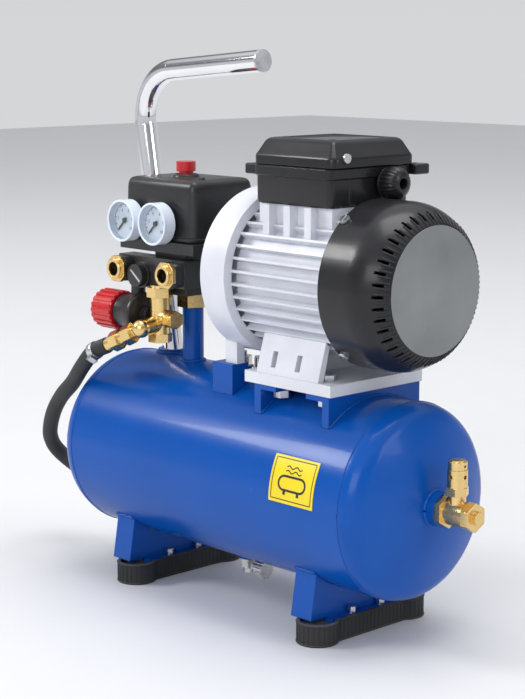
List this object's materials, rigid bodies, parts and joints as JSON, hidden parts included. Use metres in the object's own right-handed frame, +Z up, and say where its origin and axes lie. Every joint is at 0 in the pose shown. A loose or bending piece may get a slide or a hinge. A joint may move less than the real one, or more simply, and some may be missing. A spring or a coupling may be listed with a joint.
{
  "type": "airbrush compressor",
  "caption": "Oil-free piston air compressor with an electric motor on a horizontal tank, with a carrying handle, pressure switch, regulator and gauges.",
  "frame": {"origin": "middle of the whole object's footprint, on the floor under the rubber feet", "axes": "+X along the tank towards the end with the relief valve and the fan, +Y to the back, away from the gauges and outlets, +Z up"},
  "size_m": [0.4882, 0.1861, 0.4391],
  "materials": {
    "bare_alloy": "satin",
    "bearing_steel": "ground",
    "black_casting": "satin",
    "black_plastic": "satin",
    "black_rubber": "matte",
    "blue_paint": "gloss",
    "brass": "satin",
    "chrome_tube": "polished",
    "clear_lens": "clear",
    "copper_wire": "enamelled",
    "core_steel": "matte",
    "cream_plastic": "matte",
    "dark_pipe": "dark",
    "gauge_white": "satin",
    "gloss_black": "gloss",
    "grey_disc": "satin",
    "needle_black": "matte",
    "nickel_fitting": "satin",
    "red_plastic": "gloss",
    "spring_steel": "bright",
    "white_alloy": "satin",
    "yellow_label": "satin",
    "zinc_steel": "satin"
  },
  "bodies": {
    "compressor": {"tank_shell": "blue_paint", "foot_brackets": "blue_paint", "rubber_feet": "black_rubber", "foot_bolts": "zinc_steel", "motor_saddle": "blue_paint", "riser_pipe": "blue_paint", "capacity_label": "yellow_label", "drain_body": "nickel_fitting", "relief_elbow": "brass", "handle_tube": "chrome_tube", "handle_plug": "zinc_steel", "air_hose": "black_rubber", "steel_fittings": "nickel_fitting", "brass_fittings": "brass", "manifold": "black_casting", "outlet_couplers": "brass", "slotted_plug": "black_plastic", "regulator_body": "black_plastic", "switch_base": "black_plastic", "switch_cover": "black_plastic", "switch_contacts": "cream_plastic", "switch_spring": "spring_steel", "gauge_cases": "gauge_white", "gauge_dials": "gauge_white", "gauge_lenses": "clear_lens", "motor_housing": "white_alloy", "motor_base": "white_alloy", "base_bolts": "zinc_steel", "stator_core": "core_steel", "stator_windings": "copper_wire", "rear_shield": "bare_alloy", "motor_bearings": "bearing_steel", "fan_cowl": "gloss_black", "cowl_disc": "grey_disc", "cover_screws": "zinc_steel", "terminal_box": "gloss_black", "terminal_lid": "gloss_black", "capacitor": "bare_alloy", "cable_gland": "black_plastic", "crankcase": "white_alloy", "crankcase_cover": "bare_alloy", "pump_cylinder": "bare_alloy", "valve_plate": "core_steel", "cylinder_head": "bare_alloy", "pump_bolts": "zinc_steel", "intake_filter": "black_plastic", "delivery_tube": "dark_pipe"},
    "crank": {"motor_shaft": "bearing_steel", "rotor": "core_steel", "fan": "black_plastic", "crank_eccentric": "core_steel"},
    "rod": {"connecting_rod": "bare_alloy"},
    "piston_body": {"piston": "bare_alloy", "piston_ring": "cream_plastic"},
    "drain_screw": {"drain_knob": "nickel_fitting"},
    "relief_body": {"relief_cap": "brass"},
    "pressure_knob": {"regulator_knob": "red_plastic"},
    "button_body": {"switch_button": "red_plastic"},
    "needle_left": {"gauge_needle_left": "needle_black"},
    "needle_right": {"gauge_needle_right": "needle_black"}
  },
  "joints": [
    {"name": "crank_spin", "type": "hinge", "parent": "compressor", "child": "crank", "pos_m": [0.0186, -0.0176, 0.269], "axis": [1, 0, 0], "continuous": true},
    {"name": "rod_turn", "type": "hinge", "parent": "crank", "child": "rod", "pos_m": [0.0156, -0.0176, 0.273], "axis": [1, 0, 0], "continuous": true},
    {"name": "piston_slide", "type": "slide", "parent": "compressor", "child": "piston_body", "axis": [0, 1, 0], "range_m": [-0.004, 0.004]},
    {"name": "drain_turn", "type": "hinge", "parent": "compressor", "child": "drain_screw", "pos_m": [0.0176, -0.0176, 0.022], "axis": [1, 0, 0], "range_deg": [0, 270]},
    {"name": "relief_lift", "type": "slide", "parent": "compressor", "child": "relief_body", "axis": [0, 0, 1], "range_m": [0, 0.003], "stiffness_N_per_m": 1500, "springref_m": -0.004},
    {"name": "pressure_set", "type": "hinge", "parent": "compressor", "child": "pressure_knob", "pos_m": [-0.1214, -0.0536, 0.224], "axis": [-1, 0, 0], "range_deg": [-540, 540]},
    {"name": "button_press", "type": "slide", "parent": "compressor", "child": "button_body", "axis": [0, 0, 1], "range_m": [-0.004, 0], "stiffness_N_per_m": 800, "springref_m": 0.003, "deforming": ["switch_spring"]},
    {"name": "needle_left_turn", "type": "hinge", "parent": "compressor", "child": "needle_left", "pos_m": [-0.0984, -0.0616, 0.301], "axis": [0, 1, 0], "range_deg": [0, 270]},
    {"name": "needle_right_turn", "type": "hinge", "parent": "compressor", "child": "needle_right", "pos_m": [-0.0594, -0.0616, 0.301], "axis": [0, 1, 0], "range_deg": [0, 270]}
  ],
  "couplings": [
    {"joint": "rod_turn", "follows": "crank_spin", "ratio": -1}
  ]
}
